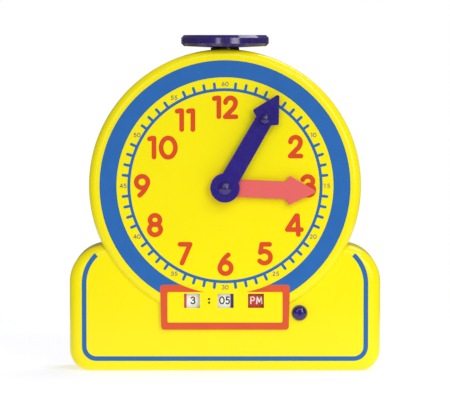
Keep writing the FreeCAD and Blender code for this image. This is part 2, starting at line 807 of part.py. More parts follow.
node("dial_minute_track", front_print("dial_minute_track", minute_track(), "dial_front", "dial_z"))


def minute_numbers():
    shapes = []
    reach = num("minute_number_radius")
    height = num("minute_number_height")
    stroke = num("minute_number_stroke")
    for minute in range(5, 61, 5):
        angle = math.radians(6 * minute)
        for shape in text_shapes(str(minute), height, stroke, PRINT):
            shape.translate(Vector(reach * math.sin(angle), reach * math.cos(angle), 0))
            shapes.append(shape)
    return Part.makeCompound(shapes)


node("dial_minute_numerals", front_print("dial_minute_numerals", minute_numbers(), "dial_front", "dial_z"))

# How far some numbers stand off the even circle, across and up, as shares of the reach
SHIFT_SHARES = {2: (0.006, 0), 3: (0.025, 0), 4: (-0.008, 0), 5: (-0.006, 0), 6: (0.006, 0), 7: (0.006, 0),
                9: (-0.025, 0), 10: (0.072, -0.013), 11: (0.025, -0.028), 12: (-0.008, 0)}


def hour_numbers():
    shapes = []
    for hour in range(1, 13):
        angle = math.radians(30 * hour)
        across_share, up_share = SHIFT_SHARES.get(hour, (0, 0))
        across = num("numeral_reach_x") * (math.sin(angle) + across_share)
        up = num("numeral_reach_z") * (math.cos(angle) + up_share)
        for shape in text_shapes(str(hour), num("numeral_height"), num("numeral_stroke"), PRINT):
            shape.translate(Vector(across, up, 0))
            shapes.append(shape)
    return Part.makeCompound(shapes)


node("dial_hour_numerals", front_print("dial_hour_numerals", hour_numbers(), "dial_front", "dial_z"))


def line_path(grow):
    """The line's course from one upper end round the feet to the other, moved outwards by grow."""
    side = num("base_width / 2 - line_inset")
    low = num("line_rise")
    corner = num("line_corner_radius")
    shoulder = num("line_shoulder_radius")
    shoulder_z = num("base_height - base_shoulder_radius - line_shoulder_drop")
    end_angle = math.radians(LINE_END_ANGLE)
    right_side = side + grow

    def arc(sign, centre_x, centre_z, radius, angles):
        spots = [Vector(sign * (centre_x + (radius + grow) * math.cos(angle)),
                        centre_z + (radius + grow) * math.sin(angle), 0) for angle in angles]
        return Part.Arc(*spots).toShape()

    edges = [Part.makeLine(Vector(corner - side, low - grow, 0), Vector(side - corner, low - grow, 0))]
    for sign in (-1, 1):
        edges.append(arc(sign, side - shoulder, shoulder_z, shoulder, (end_angle, end_angle / 2, 0)))
        edges.append(Part.makeLine(Vector(sign * right_side, shoulder_z, 0),
                                   Vector(sign * right_side, low + corner, 0)))
        edges.append(arc(sign, side - corner, low + corner, corner, (0, -math.pi / 4, -math.pi / 2)))
    return Part.Wire(Part.sortEdges(edges)[0])


def base_line_shape():
    half = num("line_width / 2")
    paths = [line_path(half), line_path(-half)]
    ends = []
    for sign in (-1, 1):
        spots = [max((vertex.Point for vertex in path.Vertexes if vertex.X * sign > 0),
                     key=lambda point: point.y) for path in paths]
        ends.append(Part.makeLine(*spots))
    edges = paths[0].Edges + paths[1].Edges + ends
    outline = Part.Wire(Part.sortEdges(edges)[0])
    return Part.Face(outline).extrude(Vector(0, 0, PRINT))


line_mask = rod("line_mask", "Y", "dial_radius", "dial_front", "0", ("0", "dial_z"))
line_strip = front_print("base_line_strip", base_line_shape(), "base_front")
node("base_line", cut("base_line", line_strip, line_mask))


def border_shape():
    side = num("pad_foot_width / 2 - border_width")
    low = num("pad_bottom + border_height")
    high = num("pad_top - border_height")
    inner = rounded_polygon(mirrored([(side, low), (side, high)]), num("pad_corner_radius / 2"))
    face = pad_face().cut(Part.Face(inner))
    dial = Part.Face(Part.Wire(Part.makeCircle(num("ring_inner"), Vector(0, num("dial_z"), 0))))
    return face.cut(dial).extrude(Vector(0, 0, PRINT))


node("readout_border", front_print("readout_border", border_shape(), "dial_front"))
colon_dots = []
for label, sign in (("low", "-"), ("high", "+")):
    spot = ("-colon_left", f"window_z {sign} colon_pitch / 2")
    colon_dots.append(rod(f"colon_{label}", "Y", "colon_radius", "print_front", "dial_front", spot))
node("readout_colon", group("readout_colon", *colon_dots))


# Gears

def tooth_angle(teeth, module, radius):
    """Half the angle that a tooth covers at a radius, on involute flanks with a little backlash."""
    pitch = teeth * module / 2
    pressure = math.radians(PRESSURE_ANGLE)
    base = pitch * math.cos(pressure)
    backlash_share = 0.12
    half = (math.pi * module / 2 - backlash_share * module) / (2 * pitch)
    slope = math.acos(min(1, base / radius))
    return half + (math.tan(pressure) - pressure) - (math.tan(slope) - slope)


def gear_face(teeth, module, bore):
    pitch = teeth * module / 2
    base = pitch * math.cos(math.radians(PRESSURE_ANGLE))
    tip = pitch + 0.8 * module
    root = pitch - module
    foot = max(base, root)
    flank = [foot, (foot + tip) / 2, tip]
    edges = []

    def spot(radius, angle):
        return Vector(radius * math.cos(angle), radius * math.sin(angle), 0)

    for index in range(teeth):
        centre = 2 * math.pi * index / teeth
        rising = [spot(radius, centre - tooth_angle(teeth, module, radius)) for radius in flank]
        falling = [spot(radius, centre + tooth_angle(teeth, module, radius)) for radius in flank[::-1]]
        foot_angle = tooth_angle(teeth, module, foot)
        low_start = spot(root, centre - foot_angle)
        low_end = spot(root, centre + foot_angle)
        if foot > root:
            edges.append(Part.makeLine(low_start, rising[0]))
        edges.append(Part.Arc(*rising).toShape())
        edges.append(Part.Arc(rising[2], spot(tip, centre), falling[0]).toShape())
        edges.append(Part.Arc(*falling).toShape())
        if foot > root:
            edges.append(Part.makeLine(falling[2], low_end))
        following = centre + 2 * math.pi / teeth
        low_next = spot(root, following - foot_angle)
        edges.append(Part.Arc(low_end, spot(root, centre + math.pi / teeth), low_next).toShape())
    return Part.Face([Part.Wire(edges), Part.Wire(Part.makeCircle(bore))], "Part::FaceMakerBullseye")


def sleeve(inner, outer, low, high):
    face = ring_face(inner, outer)
    solid = face.extrude(Vector(0, 0, high - low))
    return solid.translated(Vector(0, 0, low))


def gear_shape(teeth, module, bore, low, high, towards, tooth=True):
    """A spur gear from low to high on its own axis, with a tooth or a gap in the direction towards."""
    face = gear_face(teeth, module, bore)
    turn = towards if tooth else towards + 180 / teeth
    solid = face.extrude(Vector(0, 0, high - low)).translated(Vector(0, 0, low))
    solid.rotate(Vector(), AXES["Z"], turn)
    return solid


def joined(*shapes):
    shape = shapes[0]
    for other in shapes[1:]:
        shape = shape.fuse(other)
    return shape.removeSplitter()


# Motion work: the stud stands to the left of the arbor. In a Y piece, angles run from up to right.
LEFTWARD = 270
RIGHTWARD = 90
MOTION_MODULE = num("2 * motion_distance") / (CANNON_TEETH + MOTION_TEETH)
HOUR_MODULE = num("2 * motion_distance") / (MOTION_PINION_TEETH + HOUR_TEETH)
ARBOR_BORE = num("arbor_radius + press_gap")
ARBOR_AT = ("0", "0", "arbor_z")

node("minute_arbor", rod("minute_arbor", "Y", "arbor_radius", "minute_hand_front", "shaft_y - bevel_small",
                         ("0", "arbor_z")))
cannon = gear_shape(CANNON_TEETH, MOTION_MODULE, ARBOR_BORE, num("motion_front"), num("motion_back"),
                    LEFTWARD)
collar = sleeve(ARBOR_BORE, num("arbor_radius * 1.7"), num("motion_back"), num("plate_front_y - run_gap * 2"))
node("cannon_pinion", shaped("cannon_pinion", joined(cannon, collar), "Y", ARBOR_AT))

STUD_AT = ("-motion_distance", "0", "arbor_z")
node("motion_stud", turned("motion_stud", "Y", [
    ("0", "hour_wheel_front"),
    ("stud_radius", "hour_wheel_front"),
    ("stud_radius", "motion_back + run_gap * 2"),
    ("stud_radius * 1.6", "motion_back + run_gap * 2"),
    ("stud_radius * 1.6", "plate_front_y"),
    ("stud_radius * 0.8", "plate_front_y"),
    ("stud_radius * 0.8", "plate_back_y"),
    ("0", "plate_back_y"),
], STUD_AT))
STUD_BORE = num("stud_radius + run_gap")
motion_wheel = gear_shape(MOTION_TEETH, MOTION_MODULE, STUD_BORE, num("motion_front"), num("motion_back"),
                          RIGHTWARD, tooth=False)
motion_pinion = gear_shape(MOTION_PINION_TEETH, HOUR_MODULE, STUD_BORE, num("hour_wheel_front"),
                           num("motion_front"), RIGHTWARD)
node("motion_wheel", shaped("motion_wheel", joined(motion_wheel, motion_pinion), "Y", STUD_AT))
PIPE_BORE = num("arbor_radius + run_gap")
hour_gear = gear_shape(HOUR_TEETH, HOUR_MODULE, PIPE_BORE, num("hour_wheel_front"), num("hour_wheel_back"),
                       LEFTWARD, tooth=False)
pipe = sleeve(PIPE_BORE, num("hour_pipe_radius"), num("hour_hand_front"), num("hour_wheel_front"))
node("hour_wheel", shaped("hour_wheel", joined(hour_gear, pipe), "Y", ARBOR_AT))


def hand_shape(length, shaft, neck, head, head_start, bore, thick):
    """A hand along local Y, its front face up local Z, with a round hub and a softened front edge."""
    barb = num("barb_length")
    tip = num("tip_radius")
    points = [(shaft / 2, 0), (neck / 2, head_start - barb), (head / 2, head_start), (0, length + 0.9 * tip),
              (-head / 2, head_start), (-neck / 2, head_start - barb), (-shaft / 2, 0)]
    blade = Part.Face(rounded_polygon(points, tip))
    hub = Part.Face(Part.Wire(Part.makeCircle(num("hub_radius"))))
    face = blade.fuse(hub).removeSplitter()
    solid = face.extrude(Vector(0, 0, thick))
    front = [edge for edge in solid.Edges if all(abs(end.Z - thick) < TOUCH for end in edge.Vertexes)
             and abs(edge.BoundBox.ZMin - thick) < TOUCH]
    solid = solid.makeFillet(num("hand_edge"), front)
    return solid.cut(Part.makeCylinder(bore, 3 * thick, Vector(0, 0, -thick)))


def hand_node(name, shape, back, angle):
    """Stand a hand on the arbor with its back at a given place, turned clockwise by an angle from twelve."""
    turn = FreeCAD.Rotation(AXES["Y"], angle).multiply(FRONT)
    return node(name, shaped(name, shape, at=("0", back, "arbor_z"), turn=turn))


hour_blade = hand_shape(num("hour_length"), num("hour_shaft_width"), num("hour_shaft_width"),
                        num("hour_head_width"), num("hour_head_start"), num("hour_pipe_radius + press_gap"),
                        num("hand_thick"))
hand_node("hour_hand", hour_blade, "hour_hand_back", HOUR_HAND_ANGLE)
minute_blade = hand_shape(num("minute_length"), num("minute_shaft_width"), num("minute_neck_width"),
                          num("minute_head_width"), num("minute_head_start"), ARBOR_BORE, num("hand_thick"))
hand_node("minute_hand", minute_blade, "minute_hand_back", MINUTE_HAND_ANGLE)


def dome(name, radius, rise, at):
    """A round stud that stands towards the viewer from its own origin, with a domed front."""
    front = f"{at[1]} - {rise}"
    ball_radius = f"{DOME_SHARE} * {radius}"
    stud = rod(f"{name}_stud", "Y", radius, front, at[1], (at[0], at[2]))
    ball = doc.addObject("Part::Sphere", f"{name}_ball")
    bind(ball, Radius=ball_radius, x=at[0], y=f"{front} + {ball_radius}", z=at[2])
    return common(name, stud, ball)


node("hand_cap", dome("hand_cap", "cap_radius", "cap_rise", ("0", "minute_hand_front", "arbor_z")))
node("hand_peg", dome("hand_peg", "peg_radius", "peg_rise",
                      (f"peg_place * sin({MINUTE_HAND_ANGLE})", "minute_hand_front",
                       f"arbor_z + peg_place * cos({MINUTE_HAND_ANGLE})")))

# Gear plate
plate_body = box("plate_body", ("-plate_width / 2", "plate_width / 2"), ("plate_front_y", "plate_back_y"),
                 ("plate_bottom", "plate_top"))
plate_span = ("plate_front_y - overrun", "plate_back_y + overrun")
plate_holes = [
    rod("plate_arbor_hole", "Y", "arbor_radius + run_gap", *plate_span, ("0", "arbor_z")),
    rod("plate_stud_hole", "Y", "stud_radius * 0.8 + press_gap", *plate_span,
        ("-motion_distance", "arbor_z")),
]
for side, height in PLATE_SCREW_PLACES:
    hole_name = f"plate_hole_{'left' if side else 'right'}_{height.split('_')[1]}"
    plate_holes.append(rod(hole_name, "Y", "screw_radius + run_gap", *plate_span, (f"{side}post_x", height)))
node("gear_plate", cut("gear_plate", plate_body, *plate_holes))
node("gear_plate_screws", group("gear_plate_screws", *plate_screws))


# Bevel gears: four alike, each tooth tapering to the apex at the local origin

def bevel_shape(bore, towards, tooth):
    pitch = num("bevel_radius")
    face = num("bevel_face")
    hub_radius = num("bevel_hub_radius")
    hub_length = num("bevel_hub_length")
    module = 2 * pitch / BEVEL_TEETH
    slant = math.sqrt(0.5)
    pressure = math.tan(math.radians(PRESSURE_ANGLE))
    backlash_share = 0.16
    half_thick = (math.pi / 4 - backlash_share / 2) * module
    spots = []
    for index in range(BEVEL_TEETH):
        centre = 2 * math.pi * index / BEVEL_TEETH
        for side in (-1, 1):
            for height in (-module, 0.8 * module)[::-side]:
                radius = pitch + height * slant
                depth = pitch - height * slant
                half = (half_thick - height * pressure) / radius
                flat_radius = radius * pitch / depth
                angle = centre + side * half
                spots.append((flat_radius * math.cos(angle), flat_radius * math.sin(angle)))
    wires = []
    for share in (1, 1 - face * slant / pitch):
        corners = [Vector(x * share, y * share, pitch * share) for x, y in spots]
        wires.append(Part.makePolygon(corners + corners[:1]))
    teeth = Part.makeLoft(wires, True, True)
    hub = Part.makeCylinder(hub_radius, hub_length, Vector(0, 0, pitch))
    solid = teeth.fuse(hub).removeSplitter()
    solid = solid.cut(Part.makeCylinder(bore, 3 * pitch))
    turn = towards if tooth else towards + 180 / BEVEL_TEETH
    solid.rotate(Vector(), AXES["Z"], turn)
    return solid


SHAFT_BORE = num("shaft_radius + press_gap")
TO_FRONT = FreeCAD.Rotation(AXES["Z"], Vector(0, -1, 0))
TO_LEFT = FreeCAD.Rotation(AXES["Z"], Vector(-1, 0, 0))
UPPER_APEX = ("0", "shaft_y", "arbor_z")
LOWER_APEX = ("0", "shaft_y", "lay_z")
node("arbor_bevel", shaped("arbor_bevel", bevel_shape(ARBOR_BORE, 90, True), at=UPPER_APEX, turn=TO_FRONT))
node("upper_drive_bevel", shaped("upper_drive_bevel", bevel_shape(SHAFT_BORE, -90, False), at=UPPER_APEX))
node("lower_drive_bevel", shaped("lower_drive_bevel", bevel_shape(SHAFT_BORE, 180, False), at=LOWER_APEX))
node("layshaft_bevel", shaped("layshaft_bevel", bevel_shape(SHAFT_BORE, 0, True), at=LOWER_APEX,
                              turn=TO_LEFT))

# Drive shaft, its brackets, bushing and knob
SHAFT_AT = ("0", "shaft_y", "0")
node("drive_shaft", rod("drive_shaft", "Z", "shaft_radius", "lay_z + bevel_small",
                        "knob_top - wall - knob_recess", ("0", "shaft_y")))
BRACKETS = {
    "lower": "plate_bottom + press_gap",
    "upper": "arbor_z + upper_bracket_rise",
}
for label, low in BRACKETS.items():
    arm = box(f"{label}_bracket_arm", ("-bracket_width / 2", "bracket_width / 2"),
              ("plate_back_y", "shaft_y + shaft_radius * 2"), (low, f"{low} + bracket_height"))
    hole = rod(f"{label}_bracket_hole", "Z", "shaft_radius + run_gap", f"{low} - overrun",
               f"{low} + bracket_height + overrun", ("0", "shaft_y"))
    node(f"{label}_shaft_bracket", cut(f"{label}_shaft_bracket", arm, hole))

bushing_low = "casing_top - wall - bushing_flange_thick - bushing_flange"
node("knob_bushing", turned("knob_bushing", "Z", [
    ("shaft_radius + run_gap", bushing_low),
    ("bushing_radius + bushing_flange", bushing_low),
    ("bushing_radius + bushing_flange", f"{bushing_low} + bushing_flange_thick"),
    ("bushing_radius", f"{bushing_low} + bushing_flange_thick"),
    ("bushing_radius", "knob_bottom - run_gap"),
    ("shaft_radius + run_gap", "knob_bottom - run_gap"),
], SHAFT_AT))
knob_disc = turned("knob_disc", "Z", [
    ("0", "knob_bottom"),
    ("bushing_radius", "knob_bottom"),
    ("knob_radius - knob_chamfer", "knob_bottom + knob_dish"),
    ("knob_radius", "knob_bottom + knob_dish + knob_chamfer"),
    ("knob_radius", "knob_top - knob_chamfer"),
    ("knob_radius - knob_chamfer", "knob_top"),
    ("knob_radius - 2 * knob_chamfer", "knob_top"),
    ("knob_radius - 3 * knob_chamfer", "knob_top - knob_recess"),
    ("0", "knob_top - knob_recess"),
], SHAFT_AT)
rib_middle = "(knob_bottom + knob_dish + knob_top) / 2"
ribs = []
for index in range(GRIP_RIBS):
    rib = box(f"grip_rib_{index}", ("knob_radius - wall", "knob_radius + rib_proud"),
              ("-rib_width / 2", "rib_width / 2"),
              (f"{rib_middle} - rib_height / 2", f"{rib_middle} + rib_height / 2"))
    turn = FreeCAD.Rotation(AXES["Z"], 360 * index / GRIP_RIBS - 90)
    rib.Placement = FreeCAD.Placement(Vector(), turn)
    reach = "(knob_radius - wall)"
    angle = 360 * index / GRIP_RIBS - 90
    bind(rib, x=f"{reach} * cos({angle}) + rib_width / 2 * sin({angle})",
         y=f"shaft_y + {reach} * sin({angle}) - rib_width / 2 * cos({angle})",
         z=f"{rib_middle} - rib_height / 2")
    ribs.append(rib)
knob_socket = rod("knob_socket", "Z", "shaft_radius + press_gap", "knob_bottom - overrun",
                  "knob_top - wall - knob_recess", ("0", "shaft_y"))
node("setting_knob", cut("setting_knob", fuse("knob_solid", knob_disc, *ribs), knob_socket))
doc.recompute()

# Read-out train. In local axes of an X piece, angles run from the back towards up.
LAY_MODULE = num("2 * lay_distance") / (2 * LAY_TEETH)
MINUTE_MODULE = num("2 * transfer_distance") / (MINUTE_PINION_TEETH + TRANSFER_TEETH)
HOUR_DRUM_MODULE = num("2 * transfer_distance") / (HOUR_PINION_TEETH + HOUR_DRUM_TEETH)
HALF_DAY_MODULE = num("2 * transfer_distance") / (HALF_DAY_PINION_TEETH + HALF_DAY_DRUM_TEETH)
LAY_DIRECTION = math.degrees(math.atan2(num("lay_z - window_z"), num("lay_offset")))
TRANSFER_DIRECTION = -num("transfer_turn")
AXLE_BORE = num("axle_radius + press_gap")
AXLE_RUN = num("axle_radius + run_gap")
DRUM_AT = ("0", "drum_axis_y", "window_z")
TRANSFER_AT = ("0", "transfer_y", "transfer_z")
LAY_AT = ("0", "shaft_y", "lay_z")

node("layshaft", rod("layshaft", "X", "shaft_radius", "-left_side_x", "right_side_x", ("shaft_y", "lay_z")))
lay_gear = gear_shape(LAY_TEETH, LAY_MODULE, SHAFT_BORE, num("lay_gear_left + free_gap / 2"),
                      num("lay_gear_left + lay_gear_width"), LAY_DIRECTION + 180)
node("layshaft_gear", shaped("layshaft_gear", lay_gear, "X", LAY_AT))
node("drum_axle", rod("drum_axle", "X", "axle_radius", "-left_side_x", "right_side_x",
                      ("drum_axis_y", "window_z")))
node("transfer_shaft", rod("transfer_shaft", "X", "axle_radius", "-left_side_x", "right_side_x",
                           ("transfer_y", "transfer_z")))


def prism(name, apothem, start, length):
    item = doc.addObject("Part::Prism", name)
    item.Polygon = FACETS
    item.Placement = FreeCAD.Placement(Vector(), TURNS["X"].multiply(FreeCAD.Rotation(AXES["Z"], HALF_FACET)))
    bind(item, Circumradius=f"({apothem}) / cos({HALF_FACET})", Height=length)
    return bind(item, x=start, y="drum_axis_y", z="window_z")


def drum(name, left, hub_end):
    """A drum with a rim of flat facets, a web at its right side and a hub that carries its gear."""
    rim_outer = prism(f"{name}_rim", "drum_apothem", left, "drum_width")
    hollow = prism(f"{name}_hollow", "drum_apothem - drum_rim", f"{left} - overrun",
                   "drum_width - drum_rim + overrun")
    hub = rod(f"{name}_hub", "X", "drum_hub_radius", f"{left} + press_gap", hub_end,
              ("drum_axis_y", "window_z"))
    bore = rod(f"{name}_bore", "X", "axle_radius + run_gap", f"{left} - overrun", f"({hub_end}) + overrun",
               ("drum_axis_y", "window_z"))
    ring = cut(f"{name}_ring", rim_outer, hollow)
    return node(name, cut(name, fuse(f"{name}_solid", ring, hub), bore))


def label_band(name, left, width):
    outer = prism(f"{name}_skin", "drum_apothem + label_thick", left, width)
    core = prism(f"{name}_core", "drum_apothem", f"{left} - overrun", f"{width} + 2 * overrun")
    return node(name, cut(name, outer, core))


drum("minute_drum", "minute_drum_left", "lay_gear_left")
drum("hour_drum", "hour_drum_left", "hour_gear_left + press_gap")
drum("half_day_drum", "half_day_drum_left", "half_day_gear_left + press_gap")
hour_stripe_end = "-hour_window_left - window_width / 2 + stripe_width"
minute_stripe_start = "minute_window_right + window_width / 2 - stripe_width - free_gap"
hour_label_width = f"hour_drum_left + drum_width - ({hour_stripe_end})"
minute_label_width = f"{minute_stripe_start} - minute_drum_left"
label_band("hour_labels", hour_stripe_end, hour_label_width)
label_band("minute_labels", "minute_drum_left", minute_label_width)


def drum_prints(name, texts, centre, surface):
    """Figures on the facets: the first text faces the windows and the next one comes from below."""
    shapes = []
    axis = Vector(0, num("drum_axis_y"), num("window_z"))
    for index, text in enumerate(texts):
        width_share = 1 if text.isalpha() else DIGIT_WIDTH_SHARE
        for shape in text_shapes(text, num("digit_height"), num("digit_stroke"), num("print_thick / 2"),
                                 width_share):
            shape.Placement = FreeCAD.Placement(Vector(), FRONT).multiply(shape.Placement)
            shape.translate(Vector(num(centre), -num(surface), 0))
            shape.rotate(Vector(), AXES["X"], 2 * HALF_FACET * index)
            shape.translate(axis)
            shapes.append(shape)
    return node(name, shaped(name, Part.makeCompound(shapes)))


hour_texts = [str((2 + index) % 12 + 1) for index in range(FACETS)]
minute_texts = [f"{(5 + 5 * index) % 60:02d}" for index in range(FACETS)]
half_day_texts = ["PM" if (index + 1) % FACETS < 6 else "AM" for index in range(FACETS)]
drum_prints("hour_digits", hour_texts, "-hour_window_left + stripe_width / 3", "drum_apothem + label_thick")
drum_prints("minute_digits", minute_texts, "minute_window_right - stripe_width / 3",
            "drum_apothem + label_thick")
drum_prints("half_day_letters", half_day_texts, "half_day_window_right", "drum_apothem")

minute_gear = gear_shape(LAY_TEETH, LAY_MODULE, AXLE_RUN, num("lay_gear_left"), num("minute_pinion_left"),
                         LAY_DIRECTION, tooth=False)
minute_pinion = gear_shape(MINUTE_PINION_TEETH, MINUTE_MODULE, AXLE_RUN, num("minute_pinion_left"),
                           num("minute_train_right"), TRANSFER_DIRECTION)
node("minute_drum_gear", shaped("minute_drum_gear", joined(minute_gear, minute_pinion), "X", DRUM_AT))
hour_drum_gear = gear_shape(HOUR_DRUM_TEETH, HOUR_DRUM_MODULE, AXLE_RUN, num("hour_gear_left + press_gap"),
                            num("hour_gear_left + transfer_gear_width"), TRANSFER_DIRECTION, tooth=False)
node("hour_drum_gear", shaped("hour_drum_gear", hour_drum_gear, "X", DRUM_AT))
half_day_gear = gear_shape(HALF_DAY_DRUM_TEETH, HALF_DAY_MODULE, AXLE_RUN,
                           num("half_day_gear_left + press_gap"),
                           num("half_day_gear_left + transfer_gear_width"), TRANSFER_DIRECTION, tooth=False)
node("half_day_drum_gear", shaped("half_day_drum_gear", half_day_gear, "X", DRUM_AT))

BACK_TOWARDS_DRUM = TRANSFER_DIRECTION + 180
transfer_gear = gear_shape(TRANSFER_TEETH, MINUTE_MODULE, AXLE_BORE, num("transfer_gear_left"),
                           num("transfer_gear_left + transfer_gear_width"), BACK_TOWARDS_DRUM, tooth=False)
node("transfer_gear", shaped("transfer_gear", transfer_gear, "X", TRANSFER_AT))
hour_pinion = gear_shape(HOUR_PINION_TEETH, HOUR_DRUM_MODULE, AXLE_BORE, num("hour_gear_left + free_gap / 2"),
                         num("hour_gear_left + transfer_gear_width + free_gap"), BACK_TOWARDS_DRUM)
node("hour_transfer_pinion", shaped("hour_transfer_pinion", hour_pinion, "X", TRANSFER_AT))
half_day_pinion = gear_shape(HALF_DAY_PINION_TEETH, HALF_DAY_MODULE, AXLE_BORE,
                             num("half_day_gear_left + free_gap / 2"),
                             num("half_day_gear_left + transfer_gear_width + free_gap"), BACK_TOWARDS_DRUM)
node("half_day_transfer_pinion", shaped("half_day_transfer_pinion", half_day_pinion, "X", TRANSFER_AT))

# Side plates of the read-out, tied by two rods
TIE_PLACES = {"low": ("2 * shaft_radius + transfer_y", "wall + 2 * ear_height / 3"),
              "high": ("2 * tie_radius - ear_seat", "ear_high_z - ear_height / 2")}
ties = []
for label, spot in TIE_PLACES.items():
    ties.append(rod(f"tie_{label}", "X", "tie_radius", "-left_side_x", "right_side_x", spot))
node("frame_ties", group("frame_ties", *ties))
SIDES = {
    "left": ("-left_side_x", "left_side_inner", "-left_side_x - ear_length", "-left_side_x"),
    "right": ("right_side_inner", "right_side_x", "right_side_x", "right_side_x + ear_length"),
}
side_top = "lay_z + 3 * shaft_radius"
for side, (low, high, ear_low, ear_high) in SIDES.items():
    panel = box(f"{side}_panel", (low, high), ("-ear_seat", "5.5 * shaft_radius"),
                ("wall + free_gap", side_top))
    ears = []
    ear_holes = []
    for level in ("low", "high"):
        middle = f"ear_{level}_z"
        ears.append(box(f"{side}_ear_{level}", (ear_low, ear_high), ("-ear_seat", "-ear_seat + side_thick"),
                        (f"{middle} - ear_height / 2", f"{middle} + ear_height / 2")))
        ear_holes.append(rod(f"{side}_ear_hole_{level}", "Y", "screw_radius + run_gap", "-ear_seat - overrun",
                             "-ear_seat + side_thick + overrun", (f"({ear_low} + {ear_high}) / 2", middle)))
    span = (f"{low} - overrun", f"{high} + overrun")
    bearings = [
        rod(f"{side}_lay_bearing", "X", "shaft_radius + run_gap", *span, ("shaft_y", "lay_z")),
        rod(f"{side}_transfer_bearing", "X", "axle_radius + run_gap", *span, ("transfer_y", "transfer_z")),
        rod(f"{side}_axle_hole", "X", "axle_radius + press_gap", *span, ("drum_axis_y", "window_z")),
    ]
    for label, spot in TIE_PLACES.items():
        bearings.append(rod(f"{side}_tie_hole_{label}", "X", "tie_radius + press_gap", *span, spot))
    if side == "right":
        bearings.append(rod("pivot_hole", "X", "pivot_radius + press_gap", *span, ("pivot_y", "lever_z")))
    node(f"readout_{side}_side", cut(f"readout_{side}_side", fuse(f"{side}_side_solid", panel, *ears),
                                     *bearings, *ear_holes))
node("readout_screws", group("readout_screws", *ear_screws))

# Push button with its spring and guide
BUTTON_AT = ("button_x", "0", "button_z")
button = turned("time_button", "Y", [
    ("0", "base_front - button_rise"),
    ("button_radius", "base_front - button_rise"),
    ("button_radius", "flange_front"),
    ("button_radius + button_flange", "flange_front"),
    ("button_radius + button_flange", "flange_back"),
    ("stem_radius", "flange_back"),
    ("stem_radius", "stem_end"),
    ("0", "stem_end"),
], BUTTON_AT)
round_edges(button, "crown", rim("button_radius", "base_front - button_rise"), "button_rise - run_gap")
node("time_button", button)
guide_half = "(button_radius + 3.2 * guide_post_radius)"
guide_bar = box("guide_bar", ("button_x - button_radius", "button_x + button_radius"),
                ("guide_front", "guide_front + guide_thick"),
                (f"button_z - {guide_half}", f"button_z + {guide_half}"))
guide_hole = rod("guide_hole", "Y", "stem_radius + run_gap", "guide_front - overrun",
                 "guide_front + guide_thick + overrun", ("button_x", "button_z"))
node("button_guide", cut("button_guide", guide_bar, guide_hole))


def spring_shape():
    wire = num("spring_wire")
    length = num("guide_front - flange_back") - wire
    helix = Part.makeLongHelix(length / SPRING_TURNS, length, num("spring_radius"))
    ring = Part.Wire(Part.makeCircle(wire / 2, Vector(num("spring_radius"), 0, 0), Vector(0, 1, 0)))
    coil = Part.Wire(helix.Edges).makePipeShell([ring], True, True)
    return coil.translated(Vector(0, 0, wire / 2))


node("button_spring", shaped("button_spring", spring_shape(), "Y", ("button_x", "flange_back", "button_z")))

# Lever: a hub on the pivot rod, a short arm at the button and a long forked arm at the shutter
pivot_end = "bracket_x + 2 * guide_post_radius"
node("lever_pivot", rod("lever_pivot", "X", "pivot_radius", "right_side_inner", pivot_end,
                        ("pivot_y", "lever_z")))
bracket_body = box("bracket_body", ("bracket_x - guide_post_radius", "bracket_x + guide_post_radius"),
                   ("pivot_y - lever_hub_radius", "pivot_y + lever_hub_radius"),
                   ("lever_z - lever_hub_radius", "lever_z + lever_hub_radius"))
bracket_hole = rod("bracket_hole", "X", "pivot_radius + press_gap", "bracket_x - base_width",
                   "bracket_x + base_width", ("pivot_y", "lever_z"))
node("lever_bracket", cut("lever_bracket", bracket_body, bracket_hole))


def lever_shape():
    """The lever about its own pivot, drawn in Y and Z with its long arm level, before it is tilted."""
    hub_radius = num("lever_hub_radius")
    bore = num("pivot_radius + run_gap")
    thick = num("lever_thick")
    long_arm = num("long_arm")
    short_arm = num("short_arm")
    fork_low = num("fork_left")
    hub_end = num("button_x + button_radius / 2")
    hub = Part.makeCylinder(hub_radius, hub_end - fork_low, Vector(fork_low, 0, 0), AXES["X"])
    fork_width = num("fork_width")
    prong = thick / 3
    slot = num("2 * pin_radius + run_gap * 6")
    reach = long_arm + num("pin_radius")
    arm = Part.makeBox(fork_width, reach, slot + 2 * prong, Vector(fork_low, -reach, -slot / 2 - prong))
    gap = Part.makeBox(3 * fork_width, thick * 2, slot,
                       Vector(fork_low - fork_width, -long_arm - thick, -slot / 2))
    short_width = num("button_radius")
    short = Part.makeBox(short_width, thick / 2, short_arm, Vector(hub_end - short_width, -thick / 4, 0))
    tip = Part.makeCylinder(thick / 2, short_width, Vector(hub_end - short_width, 0, short_arm), AXES["X"])
    solid = joined(hub, arm.cut(gap), short, tip)
    solid = solid.cut(Part.makeCylinder(bore, 3 * hub_end, Vector(-hub_end, 0, 0), AXES["X"]))
    solid.rotate(Vector(), AXES["X"], num("lever_swing"))
    return solid


node("shutter_lever", shaped("shutter_lever", lever_shape(), at=("0", "pivot_y", "lever_z")))

# Shutter: a plate below the windows with a leg that reaches down to the lever's fork
shutter_plate = box("shutter_plate", ("-shutter_left", "shutter_right"), ("shutter_front", "shutter_back"),
                    ("shutter_bottom", "shutter_bottom + shutter_height"))
leg_x = ("fork_left", "leg_right")
leg_web = box("leg_web", leg_x, ("shutter_back - press_gap", "leg_back"),
              ("shutter_bottom", "shutter_bottom + shutter_thick"))
leg = box("leg", leg_x, ("leg_front", "leg_back"),
          ("pin_z - 2 * pin_radius", "shutter_bottom + shutter_thick"))
ear = box("pin_ear", ("ear_left", "leg_right"), ("leg_front", "pin_y + 2 * pin_radius"),
          ("pin_z - 2 * pin_radius", "pin_z + 2 * pin_radius"))
drive_pin = rod("drive_pin", "X", "pin_radius", "fork_left", "leg_right", ("pin_y", "pin_z"))
node("shutter", fuse("shutter", shutter_plate, leg_web, leg, ear, drive_pin))
doc.recompute()

